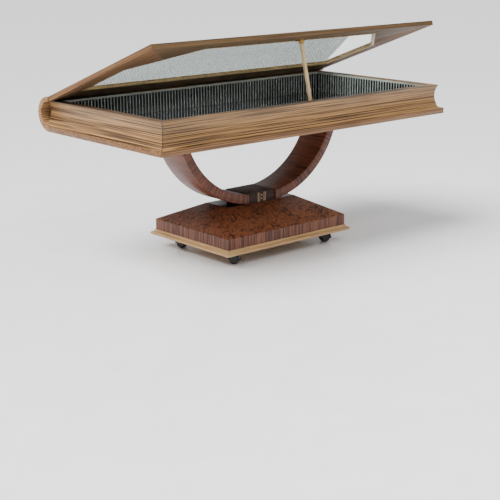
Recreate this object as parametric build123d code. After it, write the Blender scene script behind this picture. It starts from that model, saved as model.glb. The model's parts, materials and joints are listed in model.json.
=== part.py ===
from build123d import *
import math
import os

os.makedirs("parts", exist_ok=True)

# A free-standing display table whose case is a huge closed book. The bottom cover carries a hollow block
# of pages, the rounded spine carries the hinge, and the front cover is a glazed lid held open by a stay.
# A U-shaped arch of two arms and a centre block stands on a stepped plinth with four twin-wheel casters.
# X runs along the book, -Y is its fore-edge, +Z is up, and the origin is on the floor under the middle.
# All lengths are in millimetres.

# Book case
CASE_LENGTH = 1496.0
CASE_DEPTH = 805.0
SPINE_BULGE = 75.0
CASE_Z = 522.0
BOARD_T = 22.0
PAGE_H = 98.0
LID_T = 18.0
PAGE_SETBACK = 18.0
RAIL_T = 35.0
LINING_T = 3.0
MIRROR_T = 4.0
LINING_DROP = 2.0
FIT_GAP = 0.4

# Lid
LID_OPEN_DEG = 20.0
LID_END_GAP = 2.0
LID_RIGHT_INSET = 40.0
STILE_W = 77.0
FRONT_MEMBER_W = 75.0
BACK_MEMBER_W = 138.5
CORNER_CUT_X = 210.0
CORNER_CUT_Y = 220.0
RABBET_W = 10.0
GLASS_T = 5.0
GLASS_LIP = 5.0

# Piano hinge between spine and lid
LEAF_T = 1.2
LEAF_GAP = 0.3
LEAF_H = 14.0
KNUCKLE_R = 3.2
KNUCKLE_GROOVE_R = 3.8
HINGE_PIN_R = 1.2
HINGE_PIN_PLAY = 0.2
KNUCKLE_COUNT = 24
KNUCKLE_GAP = 0.6
HINGE_END_GAP = 8.0
HINGE_SCREWS = 12

# Lid stay
STAY_W = 11.0
STAY_REACH = 664.0
STAY_DROP = 10.5
STAY_X = 5.0
STAY_LENGTH = 226.0
STAY_LEAN_X_DEG = 5.4
STAY_TILT_DEG = 12.2
STAY_PIN_R = 2.0
SEAT_SLOPE_DEG = 34.0
SEAT_CLEARANCE = 1.2

# Arch and centre block
STAND_Y = -8.0
ARM_DEPTH = 152.0
ARCH_HALF_FLAT = 31.0
ARCH_OUTER_A = 405.0
ARCH_OUTER_B = 392.0
ARM_T = 37.0
BLOCK_W = 148.0
BLOCK_D = 142.0
BLOCK_H = 42.0
INLAY_W = 52.0
INLAY_T = 2.0

# Plinth
BASE_Z = 60.0
BASE_BOARD_T = 18.0
MOULDING_Z = 54.0
BAND_Z = 77.0
BAND_TOP_Z = 121.0
PLINTH_TOP_Z = 196.0
BAND_HALF_X = 319.0
BAND_HALF_Y = 236.0
TOP_HALF_X = 185.0
TOP_HALF_Y = 70.0
BAND_T = 18.0
SLOPE_T = 18.0
TOP_EDGE = 8.0
NOSE = 17.0

# Casters: pivot places about the stand's centre, wheel trail, and the way each one points
WHEEL_R = 20.0
WHEEL_W = 12.0
CASTER_X = 250.0
CASTER_Y = 168.0
TRAIL = 15.0
WEB_W = 9.6
AXLE_R = 2.5
STEM_R = 3.2
STEM_PLAY = 0.15
PLATE_SIZE = 40.0
PLATE_T = 3.0
HOOD_T = 2.2
HOOD_GAP = 1.2
BOSS_WALL = 1.5
BOSS_Z = 18.0
BOSS_TOP_Z = 52.0
WHEEL_EDGE = 6.0
WHEEL_GAP = 0.5
AXLE_SINK = 2.0
HOOD_TAIL = 6.0
CASTERS = (("1", -1, -1, 305.0), ("2", 1, -1, 345.0), ("3", 1, 1, 35.0), ("4", -1, 1, 290.0))

# Places worked out from the driving dimensions
HALF_X = CASE_LENGTH / 2
FRONT_Y = -CASE_DEPTH / 2
HINGE_Y = CASE_DEPTH / 2 - SPINE_BULGE
PAGE_Z = CASE_Z + BOARD_T
RIM_Z = PAGE_Z + PAGE_H
LID_TOP_Z = RIM_Z + LID_T
PAGE_FRONT_Y = FRONT_Y + PAGE_SETBACK
PAGE_HALF_X = HALF_X - PAGE_SETBACK
INNER_FRONT_Y = PAGE_FRONT_Y + RAIL_T
INNER_HALF_X = PAGE_HALF_X - RAIL_T
BACK_RAIL_Y = HINGE_Y - 15.0
LEAF_BACK = LEAF_GAP + LEAF_T
LID_LEFT = -HALF_X + LID_END_GAP
LID_RIGHT = HALF_X - LID_RIGHT_INSET
LID_FRONT = FRONT_Y + LID_END_GAP
LID_BACK = HINGE_Y - LEAF_BACK
FAR = 2000.0


def save(node, *solids):
    """One STEP per node. A node of several pieces is a group of separate solids."""
    shape = solids[0] if len(solids) == 1 else Compound(children=list(solids))
    export_step(shape, f"parts/{node}.step")


def block(x0, x1, y0, y1, z0, z1):
    centre = Pos((x0 + x1) / 2, (y0 + y1) / 2, (z0 + z1) / 2)
    return centre * Box(x1 - x0, y1 - y0, z1 - z0)


def plan_prism(points, z0, z1):
    """Solid over a plan outline of (x, y) points."""
    outline = make_face(Polyline([(x, y, z0) for x, y in points], close=True))
    return extrude(outline, amount=z1 - z0, dir=(0, 0, 1))


def along_x(section, x0, x1):
    """Extrude a (y, z) section along X."""
    return extrude(Plane.YZ.offset(x0) * section, amount=x1 - x0, dir=(1, 0, 0))


def upright(x, y, z0, z1, radius):
    return Pos(x, y, (z0 + z1) / 2) * Cylinder(radius, z1 - z0)


def level_x(y, z, x0, x1, radius):
    return Pos((x0 + x1) / 2, y, z) * Rot(0, 90, 0) * Cylinder(radius, x1 - x0)


def level_y(x, z, y0, y1, radius):
    return Pos(x, (y0 + y1) / 2, z) * Rot(90, 0, 0) * Cylinder(radius, y1 - y0)


def inset(points, distance):
    """Move every side of a counter-clockwise convex outline inwards by distance."""
    count = len(points)
    sides = []
    for i in range(count):
        (ax, ay), (bx, by) = points[i], points[(i + 1) % count]
        length = math.hypot(bx - ax, by - ay)
        nx, ny = -(by - ay) / length, (bx - ax) / length
        sides.append((nx, ny, nx * ax + ny * ay + distance))
    corners = []
    for i in range(count):
        (a, b, c), (d, e, f) = sides[i - 1], sides[i]
        det = a * e - b * d
        corners.append(((c * e - b * f) / det, (a * f - c * d) / det))
    return corners


def page_profile(to_plane):
    """Concave section of a page rail. to_plane turns (outward offset, height) into sketch coordinates."""
    top = to_plane(0, PAGE_H)
    hollow = to_plane(-11, 58)
    lip = to_plane(-4.5, 19)
    sweep = to_plane(2, 5)
    toe = to_plane(16, 1.2)
    toe_foot = to_plane(16, 0)
    inner_foot = to_plane(-RAIL_T, 0)
    inner_top = to_plane(-RAIL_T, PAGE_H)
    edges = [
        ThreePointArc(top, hollow, lip),
        ThreePointArc(lip, sweep, toe),
        Polyline([toe, toe_foot, inner_foot, inner_top, top]),
    ]
    return make_face(edges)


def spine_inner(shrink):
    """Section of the hollow inside the spine, made smaller by shrink."""
    half_height = (PAGE_H - 2 * shrink) / 2
    return Pos(HINGE_Y, PAGE_Z + PAGE_H / 2) * Ellipse(SPINE_BULGE - 21 - shrink, half_height)


def make_board_and_spine():
    save("bottom_board", block(-HALF_X, HALF_X, FRONT_Y, HINGE_Y, CASE_Z, PAGE_Z) - arch_bolts())
    closed_h = BOARD_T + PAGE_H + LID_T
    outer = Pos(HINGE_Y, CASE_Z + closed_h / 2) * Ellipse(SPINE_BULGE, closed_h / 2)
    front_half = Pos(HINGE_Y - SPINE_BULGE, CASE_Z + closed_h / 2) * Rectangle(2 * SPINE_BULGE, 2 * closed_h)
    section = outer - spine_inner(0) - front_half
    shell = along_x(section, -HALF_X, HALF_X)
    leaf_seat = block(-HALF_X, HALF_X, HINGE_Y - 1, HINGE_Y + LEAF_BACK, RIM_Z - 4, LID_TOP_Z + 1)
    groove = level_x(HINGE_Y, LID_TOP_Z, -HALF_X, HALF_X, KNUCKLE_GROOVE_R)
    shell = shell - leaf_seat - groove - hinge_screws(1)
    save("spine_shell", shell)


def page_back_limit():
    """Space that the page block may fill: the case, and the spine's hollow up to a leaning back face."""
    body = Pos((FRONT_Y + HINGE_Y) / 2, PAGE_Z + PAGE_H / 2) * Rectangle(HINGE_Y - FRONT_Y, PAGE_H)
    body = body + spine_inner(0.6)
    lean = make_face(
        Polyline(
            [
                (FRONT_Y, PAGE_Z),
                (HINGE_Y + 36, PAGE_Z),
                (HINGE_Y + 20, RIM_Z),
                (FRONT_Y, RIM_Z),
            ],
            close=True,
        )
    )
    return along_x(body & lean, -HALF_X, HALF_X)


def make_page_rails():
    limit = page_back_limit()
    front_profile = page_profile(lambda out, up: (PAGE_FRONT_Y - out, PAGE_Z + up))
    front = along_x(front_profile, -HALF_X, HALF_X)
    x, y = PAGE_HALF_X, PAGE_FRONT_Y
    out, deep = 30.0, 60.0
    front_plan = [(-x - out, y - out), (x + out, y - out), (x - deep, y + deep), (-x + deep, y + deep)]
    front = front & plan_prism(front_plan, PAGE_Z - 1, RIM_Z + 1)
    save("page_rail_front", front - seat_screws())

    right_profile = page_profile(lambda out_, up: (PAGE_HALF_X + out_, PAGE_Z + up))
    right = Rot(90, 0, 0) * extrude(right_profile, amount=FAR, both=True)
    right_plan = [(x + out, y - out), (x + out, 450), (x - deep, 450), (x - deep, y + deep)]
    right = right & plan_prism(right_plan, PAGE_Z - 1, RIM_Z + 1) & limit
    save("page_rail_right", right)
    save("page_rail_left", mirror(right, about=Plane.YZ))

    back = block(-INNER_HALF_X, INNER_HALF_X, BACK_RAIL_Y, HINGE_Y + SPINE_BULGE, PAGE_Z, RIM_Z) & limit
    save("page_rail_back", back)


def make_interior():
    """Four reeded linings against the page rails, and the mirror floor dropped in between them."""
    x, front, back = INNER_HALF_X, INNER_FRONT_Y, BACK_RAIL_Y
    top_z = RIM_Z - LINING_DROP
    save("lining_front", block(-x, x, front, front + LINING_T, PAGE_Z, top_z) - seat_screws())
    save("lining_back", block(-x, x, back - LINING_T, back, PAGE_Z, top_z))
    for name, side in (("left", -1), ("right", 1)):
        inner, outer = sorted((side * (x - LINING_T), side * x))
        save(f"lining_{name}", block(inner, outer, front + LINING_T, back - LINING_T, PAGE_Z, top_z))
    edge = LINING_T + FIT_GAP
    save("mirror_floor", block(edge - x, x - edge, front + edge, back - edge, PAGE_Z, PAGE_Z + MIRROR_T))


def arm_section(side):
    """Section of one arm in (x, z): the space between two quarter ellipses on one centre."""
    centre = Pos(side * ARCH_HALF_FLAT, PLINTH_TOP_Z + ARCH_OUTER_B)
    outer = centre * Ellipse(ARCH_OUTER_A, ARCH_OUTER_B)
    inner = centre * Ellipse(ARCH_OUTER_A - ARM_T, ARCH_OUTER_B - ARM_T)
    height = CASE_Z - PLINTH_TOP_Z
    half = Pos(side * (BLOCK_W / 2 + FAR / 2), PLINTH_TOP_Z + height / 2) * Rectangle(FAR, height)
    return (outer - inner) & half


def arch_bolts():
    """Two bolts down through the bottom board into the top of each arm."""
    x = ARCH_HALF_FLAT + ARCH_OUTER_A - ARM_T / 2 - 6
    bolts = []
    for side in (-1, 1):
        for step in (-40, 40):
            head = upright(side * x, STAND_Y + step, PAGE_Z - 6, PAGE_Z, 8)
            shank = upright(side * x, STAND_Y + step, CASE_Z - 44, PAGE_Z - 6, 4)
            bolts.append(head + shank)
    return bolts


def block_dowels():
    dowels = []
    for side in (-1, 1):
        for step in (-40, 40):
            x0, x1 = sorted((side * (BLOCK_W / 2 - 16), side * (BLOCK_W / 2 + 20)))
            dowels.append(level_x(STAND_Y + step, PLINTH_TOP_Z + 22, x0, x1, 5))
    return dowels


def block_bolts():
    """Two bolts up through the plinth top into the centre block."""
    bolts = []
    for side in (-1, 1):
        head = upright(side * 40, STAND_Y, PLINTH_TOP_Z - SLOPE_T - 6, PLINTH_TOP_Z - SLOPE_T, 8)
        shank = upright(side * 40, STAND_Y, PLINTH_TOP_Z - SLOPE_T, PLINTH_TOP_Z + 26, 4)
        bolts.append(head + shank)
    return bolts


def make_arch():
    for name, side in (("left", -1), ("right", 1)):
        arm = Rot(90, 0, 0) * extrude(arm_section(side), amount=ARM_DEPTH / 2, both=True)
        arm = Pos(0, STAND_Y, 0) * arm
        save(f"arch_arm_{name}", arm - arch_bolts() - block_dowels())
    half_w, half_d = BLOCK_W / 2, BLOCK_D / 2
    z1 = PLINTH_TOP_Z + BLOCK_H
    body = block(-half_w, half_w, STAND_Y - half_d, STAND_Y + half_d, PLINTH_TOP_Z, z1)
    face = STAND_Y - half_d
    inlay = block(-INLAY_W / 2, INLAY_W / 2, face, face + INLAY_T, PLINTH_TOP_Z, z1)
    save("centre_block", body - inlay - block_dowels() - block_bolts())
    save("block_inlay", inlay)
    save("arch_bolts", *arch_bolts())
    save("block_dowels", *block_dowels())
    save("block_bolts", *block_bolts())


def plinth_rect(half_x, half_y, z):
    return Plane.XY.offset(z) * Rectangle(2 * half_x, 2 * half_y)


def frustum(drop):
    """Sloping body of the plinth, lowered by drop."""
    low = plinth_rect(BAND_HALF_X, BAND_HALF_Y, BAND_TOP_Z - drop)
    high = plinth_rect(TOP_HALF_X, TOP_HALF_Y, PLINTH_TOP_Z - drop)
    return loft([low, high])


def around(name, make_front):
    """Four mitred members of a rectangle. make_front(half length, half depth) gives the one facing -Y."""
    turns = (
        ("front", 0, BAND_HALF_X, BAND_HALF_Y),
        ("right", 90, BAND_HALF_Y, BAND_HALF_X),
        ("back", 180, BAND_HALF_X, BAND_HALF_Y),
        ("left", 270, BAND_HALF_Y, BAND_HALF_X),
    )
    for side, turn, half_length, half_depth in turns:
        member = make_front(half_length, half_depth)
        save(f"{name}_{side}", Pos(0, STAND_Y, 0) * Rot(0, 0, turn) * member)


def mitred(section, half_length, half_depth):
    """Extrude a (y, z) section past both corners and cut it to 45-degree mitres."""
    out = NOSE + 10
    bar = along_x(section, -half_length - out, half_length + out)
    plan = [
        (-half_length - out, -half_depth - out),
        (half_length + out, -half_depth - out),
        (half_length - BAND_T - 5, -half_depth + BAND_T + 5),
        (-half_length + BAND_T + 5, -half_depth + BAND_T + 5),
    ]
    return bar & plan_prism(plan, MOULDING_Z - 1, PLINTH_TOP_Z)


def band_front(half_length, half_depth):
    section = Pos(-half_depth + BAND_T / 2, (BAND_Z + BAND_TOP_Z) / 2) * Rectangle(BAND_T, BAND_TOP_Z - BAND_Z)
    return mitred(section, half_length, half_depth)


def moulding_front(half_length, half_depth):
    """Rounded nose below a cove, with a small fillet under the band."""
    face = -half_depth
    inner = face + BAND_T
    edges = [
        Polyline([(face - 3, BAND_Z), (inner, BAND_Z), (inner, MOULDING_Z), (face - NOSE + 5, MOULDING_Z)]),
        ThreePointArc((face - NOSE + 5, MOULDING_Z), (face - NOSE, 60), (face - NOSE + 3.5, 66.5)),
        Polyline([(face - NOSE + 3.5, 66.5), (face - NOSE + 6, 67.5)]),
        ThreePointArc((face - NOSE + 6, 67.5), (face - 6, 70), (face - 3, 75)),
        Polyline([(face - 3, 75), (face - 3, BAND_Z)]),
    ]
    return mitred(make_face(edges), half_length, half_depth)


def slope_front(half_length, half_depth):
    turned = half_length < half_depth
    shell = frustum(0) - frustum(SLOPE_T) - plinth_top_slab()
    if turned:
        shell = Rot(0, 0, -90) * shell
    top_length, top_depth = (TOP_HALF_Y, TOP_HALF_X) if turned else (TOP_HALF_X, TOP_HALF_Y)
    run = half_depth / (half_depth - top_depth)
    ridge = half_length - run * (half_length - top_length)
    if ridge > 0:
        plan = [(-half_length, -half_depth), (half_length, -half_depth), (ridge, 0), (-ridge, 0)]
    else:
        run = half_length / (half_length - top_length)
        apex = -half_depth + run * (half_depth - top_depth)
        plan = [(-half_length, -half_depth), (half_length, -half_depth), (0, apex)]
    return shell & plan_prism(plan, MOULDING_Z, PLINTH_TOP_Z + 1)


def plinth_top_slab():
    x, y = TOP_HALF_X - TOP_EDGE, TOP_HALF_Y - TOP_EDGE
    return block(-x, x, -y, y, PLINTH_TOP_Z - SLOPE_T, PLINTH_TOP_Z)


def caster_screws():
    """Four countersunk screws in each caster plate."""
    screws = []
    reach = PLATE_SIZE / 2 - 6
    for _, sx, sy, _ in CASTERS:
        for dx in (-reach, reach):
            for dy in (-reach, reach):
                x, y = sx * CASTER_X + dx, STAND_Y + sy * CASTER_Y + dy
                head = Pos(x, y, BASE_Z - PLATE_T / 2) * Cone(3.0, 1.5, PLATE_T)
                shank = upright(x, y, BASE_Z, BASE_Z + 14, 1.5)
                screws.append(head + shank)
    return screws


def make_plinth():
    around("plinth_band", band_front)
    around("plinth_moulding", moulding_front)
    around("plinth_slope", slope_front)
    save("plinth_top", Pos(0, STAND_Y, 0) * plinth_top_slab() - block_bolts())
    x, y = BAND_HALF_X - BAND_T, BAND_HALF_Y - BAND_T
    base = block(-x, x, STAND_Y - y, STAND_Y + y, BASE_Z, BASE_Z + BASE_BOARD_T)
    save("plinth_base_board", base - caster_screws())


def caster_frame(sx, sy, heading):
    """Place of a caster: pivot on the Z axis, wheels trailing along +X turned to the heading."""
    return Pos(sx * CASTER_X, STAND_Y + sy * CASTER_Y, 0) * Rot(0, 0, heading)


def caster_hood():
    """Web between the wheels, the arched hood over them, and the boss that turns on the stem."""
    hood_r = WHEEL_R + HOOD_GAP
    half_w = WEB_W / 2 + WHEEL_W + 2 * WHEEL_GAP
    ring = Circle(hood_r + HOOD_T) - Circle(hood_r)
    reach = 2 * hood_r
    over_axle = Pos(0, reach / 2) * Rectangle(2 * reach, reach)
    tail = Pos(reach / 2, reach / 2 - HOOD_TAIL) * Rectangle(reach, reach)
    hood = extrude(ring & (over_axle + tail), amount=half_w, both=True)
    web = extrude(Circle(hood_r + HOOD_T / 2) & (over_axle + tail), amount=WEB_W / 2, both=True)
    turned = Pos(TRAIL, 0, WHEEL_R) * Rot(90, 0, 0) * (hood + web)
    boss = upright(0, 0, BOSS_Z, BOSS_TOP_Z, STEM_R + BOSS_WALL)
    boss = boss + block(-STEM_R, TRAIL - STEM_R, -WEB_W / 2, WEB_W / 2, BOSS_Z, 2 * WHEEL_R)
    bore = upright(0, 0, 0, BASE_Z, STEM_R + STEM_PLAY)
    axle_hole = level_y(TRAIL, WHEEL_R, -2 * half_w, 2 * half_w, AXLE_R + STEM_PLAY)
    return turned + boss - bore - axle_hole


def caster_wheels():
    """Two rounded wheels on one axle."""
    inner = WEB_W / 2 + WHEEL_GAP
    wheel = Cylinder(WHEEL_R, WHEEL_W)
    rim = wheel.edges().filter_by(GeomType.CIRCLE).sort_by(Axis.Z)[-1]
    wheel = fillet(rim, WHEEL_EDGE) - Cylinder(AXLE_R, 2 * WHEEL_W)
    wheel = Pos(0, 0, inner + WHEEL_W / 2) * wheel
    axle = Cylinder(AXLE_R, 2 * (inner + WHEEL_W - AXLE_SINK))
    return [Pos(TRAIL, 0, WHEEL_R) * Rot(90, 0, 0) * solid for solid in (wheel, Rot(180, 0, 0) * wheel, axle)]


def make_casters():
    plates, stems = [], []
    half = PLATE_SIZE / 2
    for name, sx, sy, heading in CASTERS:
        place = caster_frame(sx, sy, heading)
        save(f"caster_{name}_hood", place * caster_hood())
        save(f"caster_{name}_wheels", *[place * solid for solid in caster_wheels()])
        square = Pos(sx * CASTER_X, STAND_Y + sy * CASTER_Y, 0)
        plate = block(-half, half, -half, half, BASE_Z - PLATE_T, BASE_Z)
        plates.append(square * plate - caster_screws())
        stems.append(square * upright(0, 0, BOSS_Z + 2, BASE_Z - PLATE_T, STEM_R))
    save("caster_plates", *plates)
    save("caster_stems", *stems)
    save("caster_screws", *caster_screws())


def hinge_screws(side):
    """Countersunk screws through one hinge leaf: side +1 into the spine, -1 into the lid when it is shut."""
    x0, x1 = LID_LEFT + HINGE_END_GAP, LID_RIGHT - HINGE_END_GAP
    pitch = (x1 - x0) / HINGE_SCREWS
    z = RIM_Z + 7.5
    screws = []
    for i in range(HINGE_SCREWS):
        x = x0 + (i + 0.5) * pitch
        y0 = HINGE_Y + side * LEAF_GAP
        y1 = HINGE_Y + side * LEAF_BACK
        y2 = y1 + side * 12
        cone = Cone(2.6, 1.4, LEAF_T)
        head = Pos(x, (y0 + y1) / 2, z) * Rot(-90 * side, 0, 0) * cone
        low, high = sorted((y1, y2))
        screws.append(head + level_y(x, z, low, high, 1.4))
    return screws


def hinge_leaf(side, bore_r):
    """Leaf with every other knuckle: side +1 on the spine, -1 on the lid."""
    x0, x1 = LID_LEFT + HINGE_END_GAP, LID_RIGHT - HINGE_END_GAP
    pitch = (x1 - x0) / KNUCKLE_COUNT
    y0, y1 = sorted((HINGE_Y + side * LEAF_GAP, HINGE_Y + side * LEAF_BACK))
    z1 = LID_TOP_Z - KNUCKLE_R - 0.5
    leaf = block(x0, x1, y0, y1, z1 - LEAF_H + KNUCKLE_R, z1)
    first = 0 if side > 0 else 1
    for i in range(first, KNUCKLE_COUNT, 2):
        a, b = x0 + i * pitch + KNUCKLE_GAP / 2, x0 + (i + 1) * pitch - KNUCKLE_GAP / 2
        leaf = leaf + block(a, b, y0, y1, z1 - 1, LID_TOP_Z) + level_x(HINGE_Y, LID_TOP_Z, a, b, KNUCKLE_R)
    leaf = leaf - level_x(HINGE_Y, LID_TOP_Z, x0 - 1, x1 + 1, bore_r)
    return leaf - hinge_screws(side)


def open_lid(shape):
    """Turn a piece drawn on the shut lid to where it is with the lid on its stay."""
    return Pos(0, HINGE_Y, LID_TOP_Z) * Rot(-LID_OPEN_DEG, 0, 0) * Pos(0, -HINGE_Y, -LID_TOP_Z) * shape


def glass_opening():
    """Clear opening of the lid: a rectangle with its two front corners cut off, counter-clockwise."""
    x0, x1 = LID_LEFT + STILE_W, LID_RIGHT - STILE_W
    y0, y1 = LID_FRONT + FRONT_MEMBER_W, LID_BACK - BACK_MEMBER_W
    return [
        (x0 + CORNER_CUT_X, y0),
        (x1 - CORNER_CUT_X, y0),
        (x1, y0 + CORNER_CUT_Y),
        (x1, y1),
        (x0, y1),
        (x0, y0 + CORNER_CUT_Y),
    ]


def lid_frame_plans():
    """Plan of each mitred frame member. A mitre runs from the lid's corner to the middle of the cut."""
    front_left, front_right, right_front, back_right, back_left, left_front = glass_opening()
    mid_left = ((front_left[0] + left_front[0]) / 2, (front_left[1] + left_front[1]) / 2)
    mid_right = ((front_right[0] + right_front[0]) / 2, (front_right[1] + right_front[1]) / 2)
    a, b = (LID_LEFT, LID_FRONT), (LID_RIGHT, LID_FRONT)
    c, d = (LID_RIGHT, LID_BACK), (LID_LEFT, LID_BACK)
    return {
        "front": [a, b, mid_right, front_right, front_left, mid_left],
        "right": [b, c, back_right, right_front, mid_right],
        "back": [c, d, back_left, back_right],
        "left": [d, a, mid_left, left_front, back_left],
    }


def make_lid():
    opening = glass_opening()
    rabbet = plan_prism(inset(opening, -RABBET_W), RIM_Z - 1, LID_TOP_Z - GLASS_LIP)
    groove = level_x(HINGE_Y, LID_TOP_Z, -HALF_X, HALF_X, KNUCKLE_GROOVE_R)
    for name, plan in lid_frame_plans().items():
        member = plan_prism(plan, RIM_Z, LID_TOP_Z) - rabbet - groove
        if name == "back":
            member = member - hinge_screws(-1)
        if name == "front":
            member = member - bracket_screws()
        save(f"lid_frame_{name}", open_lid(member))
    glass_z = LID_TOP_Z - GLASS_LIP - GLASS_T
    glass = plan_prism(inset(opening, FIT_GAP - RABBET_W), glass_z, glass_z + GLASS_T)
    save("lid_glass", open_lid(glass))

    outer, inner = inset(opening, FIT_GAP - RABBET_W), inset(opening, 1.0)
    beads = []
    for i in range(len(opening)):
        j = (i + 1) % len(opening)
        bead = plan_prism([outer[i], outer[j], inner[j], inner[i]], RIM_Z, glass_z)
        beads.append(open_lid(bead))
    save("lid_beads", *beads)


def make_hinge():
    save("hinge_leaf_spine", hinge_leaf(1, HINGE_PIN_R))
    save("hinge_screws_spine", *hinge_screws(1))
    save("hinge_leaf_lid", open_lid(hinge_leaf(-1, HINGE_PIN_R + HINGE_PIN_PLAY)))
    save("hinge_screws_lid", *[open_lid(screw) for screw in hinge_screws(-1)])
    x0, x1 = LID_LEFT + HINGE_END_GAP, LID_RIGHT - HINGE_END_GAP
    save("hinge_pin", level_x(HINGE_Y, LID_TOP_Z, x0, x1, HINGE_PIN_R))


def stay_frame():
    """Stay's pivot on the shut lid: X along the lid, Y along the tilted pin, -Z down the stay."""
    place = Pos(STAY_X, HINGE_Y - STAY_REACH, RIM_Z - STAY_DROP)
    return place * Rot(STAY_TILT_DEG, 0, 0)


def bracket_screws():
    x, y = STAY_X, HINGE_Y - STAY_REACH - 5
    screws = []
    for dx in (-17, 17):
        head = Pos(x + dx, y, RIM_Z - 1) * Cone(3.0, 1.6, 2)
        screws.append(head + upright(x + dx, y, RIM_Z, RIM_Z + 12, 1.6))
    return screws


def make_stay():
    """Bracket under the lid's front member, and the rod that swings sideways up against the lid."""
    half = STAY_W / 2
    ear_in, ear_out = half + 0.6, half + 2.4
    pin = Rot(90, 0, 0) * Cylinder(STAY_PIN_R, 2 * ear_out + 1)
    y = HINGE_Y - STAY_REACH
    plate = block(STAY_X - 24, STAY_X + 24, y - 8.5, y + 8.5, RIM_Z - 2, RIM_Z)
    for side in (-1, 1):
        low, high = sorted((side * ear_in, side * ear_out))
        ear = stay_frame() * block(-7, 7, low, high, -5, STAY_DROP + 4)
        plate = plate + (ear & block(-FAR, FAR, -FAR, FAR, 0, RIM_Z - 1))
    plate = plate - stay_frame() * pin - bracket_screws()
    save("stay_bracket", open_lid(plate))
    save("stay_bracket_screws", *[open_lid(screw) for screw in bracket_screws()])
    save("stay_pin", open_lid(stay_frame() * pin))

    rod = block(-half, half, -half, half, -STAY_LENGTH - 12, 0)
    rod = rod + Rot(90, 0, 0) * Cylinder(half, STAY_W)
    cut = Pos(0, 0, -STAY_LENGTH) * Rot(0, STAY_LEAN_X_DEG - SEAT_SLOPE_DEG, 0) * block(-60, 60, -60, 60, -60, 0)
    rod = rod - cut - Rot(90, 0, 0) * Cylinder(STAY_PIN_R + HINGE_PIN_PLAY, 40)
    save("stay_rod", open_lid(stay_frame() * Rot(0, -STAY_LEAN_X_DEG, 0) * rod))


def stay_foot_point():
    """Middle of the rod's foot with the lid open."""
    place = open_lid(stay_frame() * Rot(0, -STAY_LEAN_X_DEG, 0) * Pos(0, 0, -STAY_LENGTH))
    return place.position.X, place.position.Y, place.position.Z


def seat_screws():
    x, _, z = stay_foot_point()
    return [level_y(x + 1 + dx, z - 12, INNER_FRONT_Y - 14, INNER_FRONT_Y + LINING_T + 6, 1.6) for dx in (-5, 5)]


def make_seat():
    """Small ledge on the inside of the front rail that the foot of the stay comes down on."""
    x, _, z = stay_foot_point()
    front = INNER_FRONT_Y + LINING_T
    body = block(x - 8, x + 10, front, front + 18, z - 19, RIM_Z - 1)
    slope = Pos(x, 0, z - SEAT_CLEARANCE / math.cos(math.radians(SEAT_SLOPE_DEG)))
    cut = slope * Rot(0, -SEAT_SLOPE_DEG, 0) * block(-80, 80, -FAR, FAR, 0, 80)
    save("stay_seat", body - cut - seat_screws())
    save("stay_seat_screws", *seat_screws())


make_board_and_spine()
make_page_rails()
make_interior()
make_arch()
make_plinth()
make_casters()
make_hinge()
make_lid()
make_stay()
make_seat()
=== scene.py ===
# %% [markdown]
# # A display table shaped like a closed book
# The cabinet maker's model is already built and packed: every board, hinge and caster sits in its true
# place. This lesson gives those boards their softened edges, adds the reeded mirror strips and the
# stringing of the inlay, mixes the veneers, metals and glass, and sets up a plain studio.

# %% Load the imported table
import json
import math

import bpy
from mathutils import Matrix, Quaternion, Vector


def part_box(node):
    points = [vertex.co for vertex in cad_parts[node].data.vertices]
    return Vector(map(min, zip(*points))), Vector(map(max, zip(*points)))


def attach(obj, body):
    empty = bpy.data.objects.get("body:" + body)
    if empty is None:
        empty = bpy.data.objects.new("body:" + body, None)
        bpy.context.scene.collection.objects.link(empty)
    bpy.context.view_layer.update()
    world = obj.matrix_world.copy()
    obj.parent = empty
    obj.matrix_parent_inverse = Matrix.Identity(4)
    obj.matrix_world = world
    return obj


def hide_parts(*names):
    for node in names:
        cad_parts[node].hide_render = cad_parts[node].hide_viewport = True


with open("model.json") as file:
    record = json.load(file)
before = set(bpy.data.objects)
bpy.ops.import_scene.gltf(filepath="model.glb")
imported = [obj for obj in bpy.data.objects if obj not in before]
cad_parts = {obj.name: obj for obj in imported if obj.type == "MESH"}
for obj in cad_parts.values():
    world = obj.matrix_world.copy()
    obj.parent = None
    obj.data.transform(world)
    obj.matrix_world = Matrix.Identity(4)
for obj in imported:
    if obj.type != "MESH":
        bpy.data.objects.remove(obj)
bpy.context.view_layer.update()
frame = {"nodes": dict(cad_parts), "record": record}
nodes = frame["nodes"]
body_of = {node: body for body, members in frame["record"]["behaviour"]["bodies"].items() for node in members}
slot_of = {part["node"]: part["material_slot"] for part in frame["record"]["subparts"]}

# %% [markdown]
# ## Small helpers for shader nodes
# A material is a chain of nodes. These few functions add a node, set its values and join two sockets,
# so that each finish below can be read from top to bottom.


# %% Helpers for shader nodes
def colour(red, green, blue):
    """A paint-box colour, 0 to 255, as the linear colour that shaders use."""
    def linear(level):
        level = level / 255
        return level / 12.92 if level <= 0.04045 else ((level + 0.055) / 1.055) ** 2.4
    return (linear(red), linear(green), linear(blue), 1.0)


def add(tree, kind, **values):
    node = tree.nodes.new(kind)
    for name, value in values.items():
        if hasattr(node, name):
            setattr(node, name, value)
        else:
            node.inputs[name.replace("_", " ")].default_value = value
    return node


def join(tree, source, output, target, socket):
    tree.links.new(source.outputs[output], target.inputs[socket])


def maths(tree, operation, first, second=0.0, clamp=False):
    """A Math node; each of the two values is a number or an output socket."""
    node = tree.nodes.new("ShaderNodeMath")
    node.operation = operation
    node.use_clamp = clamp
    for index, value in enumerate((first, second)):
        if isinstance(value, (int, float)):
            node.inputs[index].default_value = value
        else:
            tree.links.new(value, node.inputs[index])
    return node.outputs[0]


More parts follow.
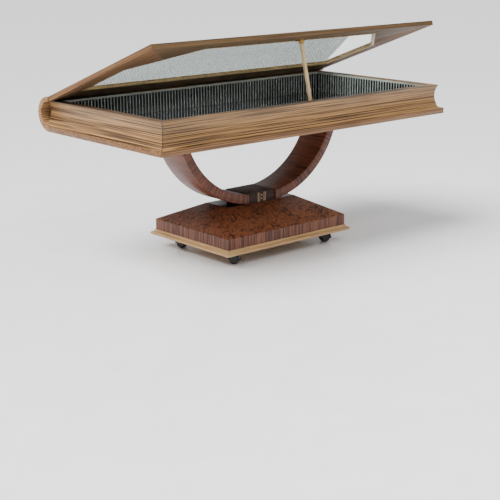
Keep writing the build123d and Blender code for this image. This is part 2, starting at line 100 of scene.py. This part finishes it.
def ramp(tree, value, *stops):
    """A colour ramp fed by value. Each stop is (place, colour)."""
    node = tree.nodes.new("ShaderNodeValToRGB")
    elements = node.color_ramp.elements
    while len(elements) < len(stops):
        elements.new(0.5)
    for element, (place, shade) in zip(elements, stops):
        element.position = place
        element.color = shade
    tree.links.new(value, node.inputs["Fac"])
    return node.outputs["Color"]


def blend_colours(tree, amount, first, second):
    """A colour Mix node; amount, first and second are values or output sockets."""
    node = tree.nodes.new("ShaderNodeMix")
    node.data_type = "RGBA"
    for index, value in ((0, amount), (6, first), (7, second)):
        if isinstance(value, bpy.types.NodeSocket):
            tree.links.new(value, node.inputs[index])
        else:
            node.inputs[index].default_value = value
    return node.outputs[2]


def spread(tree, value, low_in, high_in, low_out, high_out):
    """A Map Range node that stretches one span of values over another."""
    node = tree.nodes.new("ShaderNodeMapRange")
    for index, number in enumerate((low_in, high_in, low_out, high_out)):
        node.inputs[index + 1].default_value = number
    tree.links.new(value, node.inputs[0])
    return node.outputs[0]


def noise(tree, vector, scale, detail=4.0, roughness=0.55, distortion=0.0):
    node = add(
        tree, "ShaderNodeTexNoise", Scale=scale, Detail=detail, Roughness=roughness, Distortion=distortion,
    )
    tree.links.new(vector, node.inputs["Vector"])
    return node.outputs[0]


print("shader helpers ready")

# %% [markdown]
# ## Grain, burl and wear as node groups
# Real veneer has broad light and dark bands, thin dark lines, and fine pores. All three come from one
# noise stretched along the grain, so a group that takes an already stretched vector can serve every
# veneer on the table. Burl has no direction: it is noise folded over itself by distortion.


# %% A shader group with named sockets
def start_group(name, inputs, outputs):
    tree = bpy.data.node_groups.new(name, "ShaderNodeTree")
    for kind, label in inputs:
        tree.interface.new_socket(label, in_out="INPUT", socket_type=kind)
    for kind, label in outputs:
        tree.interface.new_socket(label, in_out="OUTPUT", socket_type=kind)
    return tree, tree.nodes.new("NodeGroupInput"), tree.nodes.new("NodeGroupOutput")


FLOAT, VECTOR = "NodeSocketFloat", "NodeSocketVector"

# %% Veneer grain
grain_group, take, give = start_group(
    "veneer grain",
    [(VECTOR, "Stretched")],
    [(FLOAT, "Bands"), (FLOAT, "Lines"), (FLOAT, "Pores")],
)
bands = noise(grain_group, take.outputs["Stretched"], 1.0, 3.0, 0.5, 0.3)
grain_group.links.new(spread(grain_group, bands, 0.3, 0.7, 0.0, 1.0), give.inputs["Bands"])
broad = noise(grain_group, take.outputs["Stretched"], 2.6, 2.0, 0.6, 0.1)
broad = spread(grain_group, broad, 0.53, 0.59, 0.0, 1.0)
narrow = noise(grain_group, take.outputs["Stretched"], 4.7, 1.0, 0.5, 0.1)
narrow = spread(grain_group, narrow, 0.5, 0.6, 0.0, 0.85)
grain_group.links.new(maths(grain_group, "MAXIMUM", broad, narrow), give.inputs["Lines"])
pores = noise(grain_group, take.outputs["Stretched"], 14.0, 4.0, 0.7)
grain_group.links.new(spread(grain_group, pores, 0.35, 0.7, 0.0, 1.0), give.inputs["Pores"])
print("group", grain_group.name, len(grain_group.nodes), "nodes")

# %% Burl figure
burl_group, take, give = start_group(
    "burl figure",
    [(VECTOR, "Vector")],
    [(FLOAT, "Swirl"), (FLOAT, "Eyes"), (FLOAT, "Pores")],
)
swirl = noise(burl_group, take.outputs["Vector"], 32.0, 3.0, 0.55, 1.6)
burl_group.links.new(spread(burl_group, swirl, 0.32, 0.68, 0.0, 1.0), give.inputs["Swirl"])
eyes = add(burl_group, "ShaderNodeTexVoronoi", Scale=60.0, Randomness=1.0)
join(burl_group, take, "Vector", eyes, "Vector")
burl_group.links.new(spread(burl_group, eyes.outputs["Distance"], 0.1, 0.45, 1.0, 0.0), give.inputs["Eyes"])
fine = noise(burl_group, take.outputs["Vector"], 420.0, 3.0, 0.6)
burl_group.links.new(fine, give.inputs["Pores"])
print("group", burl_group.name, len(burl_group.nodes), "nodes")

# %% Wear and handling
wear_group, take, give = start_group(
    "handling",
    [(VECTOR, "Vector")],
    [(FLOAT, "Edge"), (FLOAT, "Smudge"), (FLOAT, "Dust")],
)
geometry = add(wear_group, "ShaderNodeNewGeometry")
edge = spread(wear_group, geometry.outputs["Pointiness"], 0.52, 0.62, 0.0, 1.0)
breakup = noise(wear_group, take.outputs["Vector"], 45.0, 3.0, 0.6)
wear_group.links.new(maths(wear_group, "MULTIPLY", edge, breakup, True), give.inputs["Edge"])
smudge = noise(wear_group, take.outputs["Vector"], 7.0, 3.0, 0.5, 0.6)
wear_group.links.new(spread(wear_group, smudge, 0.35, 0.7, 0.0, 1.0), give.inputs["Smudge"])
dust = noise(wear_group, take.outputs["Vector"], 900.0, 2.0, 0.5)
wear_group.links.new(spread(wear_group, dust, 0.62, 0.75, 0.0, 1.0), give.inputs["Dust"])
print("group", wear_group.name, len(wear_group.nodes), "nodes")


# %% [markdown]
# ## Starting a finish
# Each finish starts the same way: a Principled shader, the piece's own coordinates, and a Mapping node
# that turns and stretches them. Coordinates are in metres, so a stretch of 90 across the grain and 0.5
# along it makes bands about a centimetre wide that run for metres.


# %% Start a finish
def start_finish(name, stretch=(1.0, 1.0, 1.0), turn=(0.0, 0.0, 0.0), **sockets):
    finish = bpy.data.materials.new(name)
    finish.use_nodes = True
    tree = finish.node_tree
    shader = tree.nodes["Principled BSDF"]
    for label, value in sockets.items():
        shader.inputs[label.replace("_", " ")].default_value = value
    place = add(tree, "ShaderNodeTexCoord")
    turned = add(tree, "ShaderNodeMapping")
    turned.inputs["Rotation"].default_value = [math.radians(angle) for angle in turn]
    stretched = add(tree, "ShaderNodeMapping")
    stretched.inputs["Scale"].default_value = stretch
    join(tree, place, "Object", turned, "Vector")
    join(tree, turned, "Vector", stretched, "Vector")
    return finish, tree, shader, turned.outputs["Vector"], stretched.outputs["Vector"]


def use_group(tree, group, vector):
    node = tree.nodes.new("ShaderNodeGroup")
    node.node_tree = group
    tree.links.new(vector, node.inputs[0])
    return node


def raise_bumps(tree, shader, height, strength, distance):
    bump = add(tree, "ShaderNodeBump", Strength=strength, Distance=distance)
    tree.links.new(height, bump.inputs["Height"])
    join(tree, bump, "Normal", shader, "Normal")


def show_colour(tree, shader, shade):
    tree.links.new(shade, shader.inputs["Base Color"])


def vary_gloss(tree, shader, smudge, low, high):
    tree.links.new(spread(tree, smudge, 0.0, 1.0, low, high), shader.inputs["Roughness"])


print("finish helpers ready")


# %% [markdown]
# ## Veneers
# One recipe serves every straight-grained veneer: bands choose between a light and a middle tone, thin
# lines add the dark one, edges are worn a little paler, and the lacquer is a clear coat over it all.


# %% The veneer recipe
def dress_veneer(tree, shader, plain, stretched, dark, middle, light, line_strength=0.8, gloss=(0.4, 0.52)):
    grain = use_group(tree, grain_group, stretched)
    wear = use_group(tree, wear_group, plain)
    shade = ramp(tree, grain.outputs["Bands"], (0.0, middle), (0.45, light), (0.75, light), (1.0, middle))
    lines = maths(tree, "MULTIPLY", grain.outputs["Lines"], line_strength)
    shade = blend_colours(tree, lines, shade, dark)
    fine = maths(tree, "MULTIPLY", grain.outputs["Pores"], 0.28)
    shade = blend_colours(tree, fine, shade, dark)
    paler = maths(tree, "MULTIPLY", wear.outputs["Edge"], 0.35)
    shade = blend_colours(tree, paler, shade, light)
    show_colour(tree, shader, shade)
    vary_gloss(tree, shader, wear.outputs["Smudge"], *gloss)
    raise_bumps(tree, shader, grain.outputs["Pores"], 0.12, 0.0004)


def veneer(
    name, stretch, dark, middle, light, turn=(0.0, 0.0, 0.0), line_strength=0.8, gloss=(0.4, 0.52), coat=0.12,
):
    finish, tree, shader, plain, stretched = start_finish(
        name, stretch, turn, Coat_Weight=coat, Coat_Roughness=0.25, Specular_IOR_Level=0.25,
    )
    dress_veneer(tree, shader, plain, stretched, dark, middle, light, line_strength, gloss)
    return finish


# %% [markdown]
# ## Veneers of the book
# The covers are dark and the pages pale with thin dark lines, as if of many sheets. Lid veneers are
# turned by the lid's slope, because the lid is packed open and the grain has to lie along it. The front
# corners of the page block are mitred: there the distance along X and Y adds up to one fixed sum, so a
# dark line is drawn where it does.

# %% Page block, boards and lid veneers
LID_SLOPE = 20.0
MITRE_SUM = 0.3455
MITRE_CORE = 0.0014
MITRE_FADE = 0.0024
page_veneer = veneer(
    "page veneer", (0.5, 0.5, 104.0), colour(44, 28, 16), colour(106, 76, 46), colour(164, 124, 78),
    line_strength=1.0,
)
lid_beading = veneer(
    "lid beading", (60.0, 60.0, 2.0), colour(92, 70, 42), colour(134, 108, 70), colour(158, 130, 88),
    line_strength=0.3,
)
board_veneer = veneer(
    "board veneer", (0.6, 34.0, 104.0), colour(48, 30, 18), colour(98, 67, 41), colour(138, 99, 62),
    line_strength=0.9,
)
spine_veneer = veneer(
    "spine veneer", (0.6, 34.0, 104.0), colour(58, 38, 23), colour(120, 86, 55), colour(166, 124, 82),
    line_strength=0.8,
)
cover_along = veneer(
    "cover veneer along", (0.7, 70.0, 70.0), colour(38, 27, 17), colour(72, 53, 33), colour(98, 74, 46),
    turn=(LID_SLOPE, 0.0, 0.0), line_strength=0.7, gloss=(0.6, 0.72), coat=0.0,
)
cover_across = veneer(
    "cover veneer across", (70.0, 0.7, 70.0), colour(46, 30, 18), colour(90, 60, 36), colour(122, 86, 53),
    turn=(LID_SLOPE, 0.0, 0.0), line_strength=0.7, gloss=(0.6, 0.72), coat=0.0,
)
tree = page_veneer.node_tree
shader = tree.nodes["Principled BSDF"]
place = add(tree, "ShaderNodeTexCoord")
split = add(tree, "ShaderNodeSeparateXYZ")
join(tree, place, "Object", split, "Vector")
across = maths(tree, "ADD", maths(tree, "ABSOLUTE", split.outputs["X"]), split.outputs["Y"])
off_mitre = maths(tree, "ABSOLUTE", maths(tree, "SUBTRACT", across, MITRE_SUM))
mitre_line = spread(tree, off_mitre, MITRE_CORE, MITRE_FADE, 1.0, 0.0)
veneered = shader.inputs["Base Color"].links[0].from_socket
show_colour(tree, shader, blend_colours(tree, mitre_line, veneered, colour(40, 25, 14)))
print("veneers for the book:", page_veneer.name, board_veneer.name, spine_veneer.name, cover_along.name)

# %% [markdown]
# ## Veneers of the stand
# The plinth's bands are cross-cut, with their stripes upright. A pale beech moulding runs round the
# bottom, and the centre block is nearly black.

# %% Plinth veneers
band_veneer = veneer(
    "plinth band veneer", (62.0, 62.0, 1.2), colour(42, 19, 13), colour(81, 44, 31), colour(122, 75, 54),
    line_strength=0.9,
)
beech = veneer(
    "beech moulding", (2.0, 2.0, 70.0), colour(112, 80, 48), colour(168, 132, 88), colour(188, 152, 106),
    line_strength=0.35,
)
pale_wood = veneer(
    "pale beading", (60.0, 60.0, 2.0), colour(124, 94, 62), colour(178, 148, 110), colour(196, 168, 130),
    line_strength=0.3,
)
base_wood = veneer(
    "plinth underside", (1.0, 60.0, 60.0), colour(120, 92, 62), colour(168, 134, 96), colour(188, 154, 114),
    coat=0.0,
    gloss=(0.55, 0.7),
)
wenge = veneer(
    "dark block", (1.0, 80.0, 80.0), colour(20, 13, 11), colour(44, 29, 24), colour(66, 46, 38),
    line_strength=0.6,
    coat=0.0, gloss=(0.6, 0.75),
)
print("veneers for the stand:", band_veneer.name, beech.name, wenge.name)

# %% [markdown]
# ## Veneer that follows the arch
# The arms are cross-banded: every face of the curve is laid with strips that run across it, so the
# pattern has to turn with the curve. The angle about the arch's centre does that. Both arms share one
# finish, because the distance from the middle is taken without its sign.

# %% Cross-banded arm veneer
ARCH_CENTRE = (0.031, 0.588)
STRIPS_PER_RADIAN = 44.0
DEPTH_DRIFT = 1.5
LENGTH_DRIFT = 0.8
arm_veneer, tree, shader, plain, _ = start_finish(
    "arm veneer", Coat_Weight=0.1, Coat_Roughness=0.25, Specular_IOR_Level=0.3,
)
split = add(tree, "ShaderNodeSeparateXYZ")
tree.links.new(plain, split.inputs[0])
side = maths(tree, "SUBTRACT", maths(tree, "ABSOLUTE", split.outputs["X"]), ARCH_CENTRE[0])
drop = maths(tree, "SUBTRACT", ARCH_CENTRE[1], split.outputs["Z"])
angle = maths(tree, "ARCTAN2", side, drop)
banded = add(tree, "ShaderNodeCombineXYZ")
tree.links.new(maths(tree, "MULTIPLY", angle, STRIPS_PER_RADIAN), banded.inputs["X"])
tree.links.new(maths(tree, "MULTIPLY", split.outputs["Y"], DEPTH_DRIFT), banded.inputs["Y"])
tree.links.new(maths(tree, "MULTIPLY", split.outputs["X"], LENGTH_DRIFT), banded.inputs["Z"])
dress_veneer(
    tree, shader, plain, banded.outputs[0], colour(36, 15, 10), colour(84, 43, 29), colour(122, 68, 46),
    line_strength=0.85,
)
print("arm veneer", len(tree.nodes), "nodes")

# %% [markdown]
# ## Burl
# The plinth's slopes are burl: small swirling figure in dark and orange browns, with tight eyes.

# %% Burl veneer
burl_veneer, tree, shader, plain, _ = start_finish(
    "burl veneer", Coat_Weight=0.08, Coat_Roughness=0.25, Specular_IOR_Level=0.3,
)
figure = use_group(tree, burl_group, plain)
wear = use_group(tree, wear_group, plain)
shade = ramp(
    tree, figure.outputs["Swirl"], (0.0, colour(46, 23, 15)), (0.28, colour(72, 37, 24)),
    (0.36, colour(146, 90, 58)), (0.43, colour(68, 35, 23)), (0.56, colour(154, 96, 62)),
    (0.64, colour(62, 31, 20)), (0.76, colour(138, 84, 54)), (0.84, colour(54, 27, 18)),
)
knots = maths(tree, "MULTIPLY", figure.outputs["Eyes"], 0.35)
shade = blend_colours(tree, knots, shade, colour(52, 22, 12))
show_colour(tree, shader, shade)
vary_gloss(tree, shader, wear.outputs["Smudge"], 0.45, 0.6)
raise_bumps(tree, shader, figure.outputs["Pores"], 0.08, 0.0004)
print("burl veneer", len(tree.nodes), "nodes")


# %% [markdown]
# ## Lacquer, metal, plastic, mirror and glass
# Smooth finishes still need life: brass darkens in smudges, black plastic carries fine dust, and a
# mirror's silver is never perfectly even. Glass keeps its Transmission plain and varies only in gloss.


# %% The smooth recipe
def smooth(name, clean, smudged, low, high, bump=0.03, **sockets):
    finish, tree, shader, plain, _ = start_finish(name, **sockets)
    wear = use_group(tree, wear_group, plain)
    shade = blend_colours(tree, wear.outputs["Smudge"], clean, smudged)
    specks = maths(tree, "MULTIPLY", wear.outputs["Dust"], 0.12)
    show_colour(tree, shader, blend_colours(tree, specks, shade, colour(150, 145, 138)))
    vary_gloss(tree, shader, wear.outputs["Smudge"], low, high)
    raise_bumps(tree, shader, wear.outputs["Dust"], bump, 0.0002)
    return finish


# %% Smooth finishes
# The plinth top's near-black colour is partly painted shade: it is the top's own dark lacquer, and it also
# stands in for the shade that falls on it under the arch and the case.
black_lacquer_and_painted_shade = smooth(
    "black lacquer and painted shade", colour(24, 22, 22), colour(38, 35, 34), 0.3, 0.45, Coat_Weight=0.3, Coat_Roughness=0.15,
)
brass = smooth("satin brass", colour(206, 168, 92), colour(176, 138, 74), 0.22, 0.38, Metallic=1.0)
steel = smooth("zinc plate", colour(176, 178, 180), colour(150, 152, 154), 0.3, 0.45, Metallic=1.0)
hood_plastic = smooth("caster hood plastic", colour(20, 20, 21), colour(32, 32, 33), 0.22, 0.36)
wheel_plastic = smooth("caster wheel nylon", colour(24, 24, 25), colour(40, 40, 41), 0.35, 0.5)
floor_mirror = smooth(
    "mirror floor", colour(176, 184, 188), colour(160, 168, 172), 0.02, 0.07, bump=0.0, Metallic=1.0,
)
dark_mirror = smooth("smoked lining", colour(30, 32, 34), colour(44, 46, 48), 0.06, 0.14, bump=0.0)
# The reeds' pale colour is partly painted reflection: a bright, half-matt tone stands in for the glint of
# silvered reeds.
reed_silver_painted_glint = smooth("silvered reed painted glint", colour(214, 216, 208), colour(190, 192, 184), 0.2, 0.32, Metallic=0.4)
lid_pane = smooth(
    "lid pane", colour(236, 246, 243), colour(228, 240, 236), 0.0, 0.03, bump=0.0,
    Transmission_Weight=1.0, IOR=1.45,
)
print("smooth finishes ready")

# %% [markdown]
# ## Pale strip along the lining
# Above the reeds the smoked lining ends in a narrow pale strip under the rim. It is the same sheet, so
# its colour changes at a height and needs no piece of its own.

# %% Lining strip
LINING_STRIP_Z = 0.632
STRIP_FADE = 0.0004
tree = dark_mirror.node_tree
shader = tree.nodes["Principled BSDF"]
split = add(tree, "ShaderNodeSeparateXYZ")
join(tree, add(tree, "ShaderNodeTexCoord"), "Object", split, "Vector")
rim_strip = spread(tree, split.outputs["Z"], LINING_STRIP_Z, LINING_STRIP_Z + STRIP_FADE, 0.0, 1.0)
smoked = shader.inputs["Base Color"].links[0].from_socket
show_colour(tree, shader, blend_colours(tree, rim_strip, smoked, colour(196, 196, 184)))
print("pale strip above", LINING_STRIP_Z)

# %% [markdown]
# ## Softening the boards
# A board straight from the saw has edges as sharp as a knife, and they catch no light. A copy of each
# board is merged, its flat faces are joined up, and a narrow bevel is cut along every sharp edge.


# %% Helpers for modelling
MERGE_GAP = 0.00001
FLAT_ANGLE = math.radians(0.5)
SHARP_ANGLE = math.radians(30)


def only(piece):
    """Select one piece and nothing else."""
    bpy.ops.object.select_all(action="DESELECT")
    piece.select_set(True)
    bpy.context.view_layer.objects.active = piece


def settle(piece, name, body, finish):
    """Put the place into the mesh, name the piece, dress it and let it ride on its body."""
    only(piece)
    bpy.ops.object.transform_apply(location=True, rotation=True, scale=True)
    piece.name = name
    piece.data.materials.clear()
    piece.data.materials.append(finish)
    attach(piece, body)
    return piece


def soften(node, width, finish):
    """A copy of a packed board with its sharp edges bevelled, standing in for that board."""
    piece = bpy.data.objects.new(node + "_soft", nodes[node].data.copy())
    bpy.context.scene.collection.objects.link(piece)
    only(piece)
    bpy.ops.object.mode_set(mode="EDIT")
    bpy.ops.mesh.select_all(action="SELECT")
    bpy.ops.mesh.remove_doubles(threshold=MERGE_GAP)
    bpy.ops.mesh.dissolve_limited(angle_limit=FLAT_ANGLE)
    bpy.ops.object.mode_set(mode="OBJECT")
    bevel = piece.modifiers.new("edge", "BEVEL")
    bevel.width = width
    bevel.segments = 2
    bevel.limit_method = "ANGLE"
    bevel.angle_limit = SHARP_ANGLE
    bevel.use_clamp_overlap = True
    bpy.ops.object.modifier_apply(modifier="edge")
    bpy.ops.object.shade_smooth_by_angle(angle=SHARP_ANGLE)
    settle(piece, node + "_soft", body_of[node], finish)
    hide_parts(node)
    return piece


# %% [markdown]
# ## Which boards are softened
# Only wooden pieces that show are softened. Big boards get the widest edge, and the thin plinth pieces
# and the stay a finer one.

# %% Soften the book
WIDE_EDGE, BOARD_EDGE, ROD_EDGE, FINE_EDGE = 0.0015, 0.0012, 0.0009, 0.0008
softened = [soften("bottom_board", WIDE_EDGE, board_veneer), soften("spine_shell", BOARD_EDGE, spine_veneer)]
for side in ("front", "right", "back", "left"):
    softened.append(soften("page_rail_" + side, FINE_EDGE, page_veneer))
lid_finishes = {"front": cover_along, "back": cover_along, "left": cover_across, "right": cover_across}
for side, finish in lid_finishes.items():
    softened.append(soften("lid_frame_" + side, BOARD_EDGE, finish))
print("softened", len(softened), "boards of the book")

# %% Soften the stand
for side in ("left", "right"):
    softened.append(soften("arch_arm_" + side, BOARD_EDGE, arm_veneer))
for side in ("front", "right", "back", "left"):
    softened.append(soften("plinth_slope_" + side, FINE_EDGE, burl_veneer))
    softened.append(soften("plinth_band_" + side, FINE_EDGE, band_veneer))
    softened.append(soften("plinth_moulding_" + side, FINE_EDGE, beech))
softened.append(soften("centre_block", BOARD_EDGE, wenge))
# The plinth top's near-black colour is partly painted shade under the arch.
softened.append(soften("plinth_top", FINE_EDGE, black_lacquer_and_painted_shade))
softened.append(soften("stay_rod", ROD_EDGE, pale_wood))
print("softened", len(softened), "pieces in all, of", len(nodes))

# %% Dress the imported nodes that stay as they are
plain_finishes = {
    "mirror": dark_mirror, "lid_glass": lid_pane, "light_wood": pale_wood, "dark_wood": wenge,
    "base_board": base_wood, "steel": steel, "brass": brass, "caster_hood": hood_plastic,
    "caster_wheel": wheel_plastic,
}
for node, piece in nodes.items():
    if piece.hide_render:
        continue
    piece.data.materials.clear()
    piece.data.materials.append(plain_finishes[slot_of[node]])
nodes["mirror_floor"].data.materials[0] = floor_mirror
nodes["block_inlay"].data.materials[0] = wenge
nodes["lid_beads"].data.materials[0] = lid_beading
print("dressed", sum(not piece.hide_render for piece in nodes.values()), "packed nodes")

# %% [markdown]
# ## Reeded lining
# Narrow reeds, silvered, stand side by side on the smoked lining all round the case. Their pale, half-matt
# colour is partly painted reflection: it stands in for the bright lines their silver would reflect, whichever
# way they face. One reed is a flat bar with rounded arrises. It is modelled once, then an Array modifier
# repeats it along the wall.

# %% Reeds
REED_PITCH = 0.0155
REED_WIDTH = 0.005
REED_PROUD = 0.0012
REED_ARRIS = 0.0009
FLOOR_GAP = 0.0005
STRIP_HEIGHT = 0.007
floor_low, floor_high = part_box("mirror_floor")
lining_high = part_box("lining_front")[1]
REED_LOW = floor_high.z + FLOOR_GAP
REED_HIGH = lining_high.z - STRIP_HEIGHT


def stand_reeds(name, start, along, length):
    """A row of reeds from start, repeated along a direction over a length."""
    count = int(length / REED_PITCH)
    gap = (length - (count - 1) * REED_PITCH) / 2
    place = Vector(start) + Vector(along) * gap
    bpy.ops.object.select_all(action="DESELECT")
    bpy.ops.mesh.primitive_cube_add(size=1.0, location=(place.x, place.y, (REED_LOW + REED_HIGH) / 2))
    reed = bpy.context.object
    across_x = abs(along[0]) > 0.5
    reed.scale = (
        REED_WIDTH if across_x else 2 * REED_PROUD,
        2 * REED_PROUD if across_x else REED_WIDTH,
        REED_HIGH - REED_LOW,
    )
    bpy.ops.object.transform_apply(location=True, rotation=True, scale=True)
    bpy.ops.object.mode_set(mode="EDIT")
    bpy.ops.mesh.select_all(action="SELECT")
    bpy.ops.mesh.bevel(offset=REED_ARRIS, segments=1, affect="EDGES")
    bpy.ops.object.mode_set(mode="OBJECT")
    row = reed.modifiers.new("row", "ARRAY")
    row.use_relative_offset = False
    row.use_constant_offset = True
    row.constant_offset_displace = Vector(along) * REED_PITCH
    row.count = count
    bpy.ops.object.modifier_apply(modifier="row")
    settle(reed, name, "root", reed_silver_painted_glint)
    print(name, count, "reeds")


east, north = (1.0, 0.0, 0.0), (0.0, 1.0, 0.0)
stand_reeds("reeds_front", (floor_low.x, lining_high.y, 0), east, floor_high.x - floor_low.x)
stand_reeds("reeds_back", (floor_low.x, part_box("lining_back")[0].y, 0), east, floor_high.x - floor_low.x)
stand_reeds("reeds_left", (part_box("lining_left")[1].x, floor_low.y, 0), north, floor_high.y - floor_low.y)
stand_reeds("reeds_right", (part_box("lining_right")[0].x, floor_low.y, 0), north, floor_high.y - floor_low.y)

# %% [markdown]
# ## Stringing
# Pale lines are let into the dark panel on the front of the centre block, with a small hourglass
# between them. Each line is a thin strip that stands just proud of the panel.

# %% Inlay stringing
inlay_low, inlay_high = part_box("block_inlay")
inlay_mid = (inlay_low + inlay_high) / 2
LINE_OFFSETS = (-0.0205, -0.0165, -0.0105, 0.0105, 0.0165, 0.0205)
LINE_WIDTH, LINE_DEPTH, LINE_MARGIN = 0.0013, 0.0006, 0.004
GLASS_RADIUS, GLASS_WAIST, GLASS_CENTRE = 0.0075, 0.0006, 0.0075
strips = []
for offset in LINE_OFFSETS:
    bpy.ops.object.select_all(action="DESELECT")
    bpy.ops.mesh.primitive_cube_add(size=1.0, location=(inlay_mid.x + offset, inlay_low.y, inlay_mid.z))
    strip = bpy.context.object
    strip.scale = (LINE_WIDTH, LINE_DEPTH, inlay_high.z - inlay_low.z - LINE_MARGIN)
    bpy.ops.object.transform_apply(location=True, rotation=True, scale=True)
    strips.append(strip)
for turn_up, height in ((0.0, -GLASS_CENTRE), (math.pi, GLASS_CENTRE)):
    bpy.ops.object.select_all(action="DESELECT")
    bpy.ops.mesh.primitive_cone_add(
        vertices=3, radius1=GLASS_RADIUS, radius2=GLASS_WAIST, depth=LINE_DEPTH,
        location=(inlay_mid.x, inlay_low.y, inlay_mid.z + height), rotation=(math.radians(90), turn_up, 0.0),
    )
    strips.append(bpy.context.object)
bpy.ops.object.select_all(action="DESELECT")
for strip in strips:
    strip.select_set(True)
bpy.context.view_layer.objects.active = strips[0]
bpy.ops.object.join()
settle(strips[0], "inlay_stringing", "root", pale_wood)
print("inlay stringing", len(strips[0].data.polygons), "faces")

# %% [markdown]
# ## The studio
# A pale floor, one broad soft light high on the left, a second one high in front, and a pale sky of even
# light. High lights keep the lacquer from glaring. The camera stands off the near corner, above the lid.

# %% Studio floor
bpy.ops.object.select_all(action="DESELECT")
bpy.ops.mesh.primitive_plane_add(size=40.0, location=(0.0, 0.0, 0.0))
studio_floor = bpy.context.object
studio_floor.name = "studio_floor"
floor_finish, tree, shader, plain, _ = start_finish("studio floor", Specular_IOR_Level=0.5)
wear = use_group(tree, wear_group, plain)
shade = blend_colours(tree, wear.outputs["Smudge"], colour(244, 244, 245), colour(238, 239, 240))
show_colour(tree, shader, shade)
vary_gloss(tree, shader, wear.outputs["Smudge"], 0.16, 0.2)
studio_floor.data.materials.append(floor_finish)
print("floor", studio_floor.name)


# %% Lights
def aim(light, target):
    light.rotation_euler = (Vector(target) - light.location).to_track_quat("-Z", "Y").to_euler()


bpy.ops.object.light_add(type="SUN", location=(-3.4, 0.6, 4.8))
soft_light = bpy.context.object
soft_light.name = "soft_light"
soft_light.data.energy = 7.5
soft_light.data.angle = math.radians(40.0)
aim(soft_light, (0.0, 0.0, 0.0))
bpy.ops.object.light_add(type="AREA", location=(-0.5, -4.2, 4.4))
front_light = bpy.context.object
front_light.name = "front_light"
front_light.data.shape = "RECTANGLE"
front_light.data.size = 4.0
front_light.data.size_y = 2.5
front_light.data.energy = 160.0
aim(front_light, (0.0, 0.0, 0.4))
sky = bpy.data.worlds.new("studio")
bpy.context.scene.world = sky
sky.use_nodes = True
sky.node_tree.nodes["Background"].inputs["Color"].default_value = (1.0, 1.0, 1.0, 1.0)
sky.node_tree.nodes["Background"].inputs["Strength"].default_value = 0.6
print("lights", soft_light.name, front_light.name)

# %% Camera
CAMERA_PLACE = Vector((-3.14711, -3.64212, 1.29456))
CAMERA_AIM = Vector((0.63076, 0.72938, -0.26486))
CAMERA_ROLL = math.radians(-0.3487)
camera_data = bpy.data.cameras.new("camera")
camera_data.sensor_width = 36.0
camera_data.lens = 84.96
camera_data.clip_end = 100.0
camera = bpy.data.objects.new("camera", camera_data)
bpy.context.scene.collection.objects.link(camera)
camera.location = CAMERA_PLACE
facing = CAMERA_AIM.to_track_quat("-Z", "Y") @ Quaternion((0.0, 0.0, 1.0), CAMERA_ROLL)
camera.rotation_euler = facing.to_euler()
bpy.context.scene.camera = camera
print("camera at", [round(value, 3) for value in camera.location], "lens", camera_data.lens)
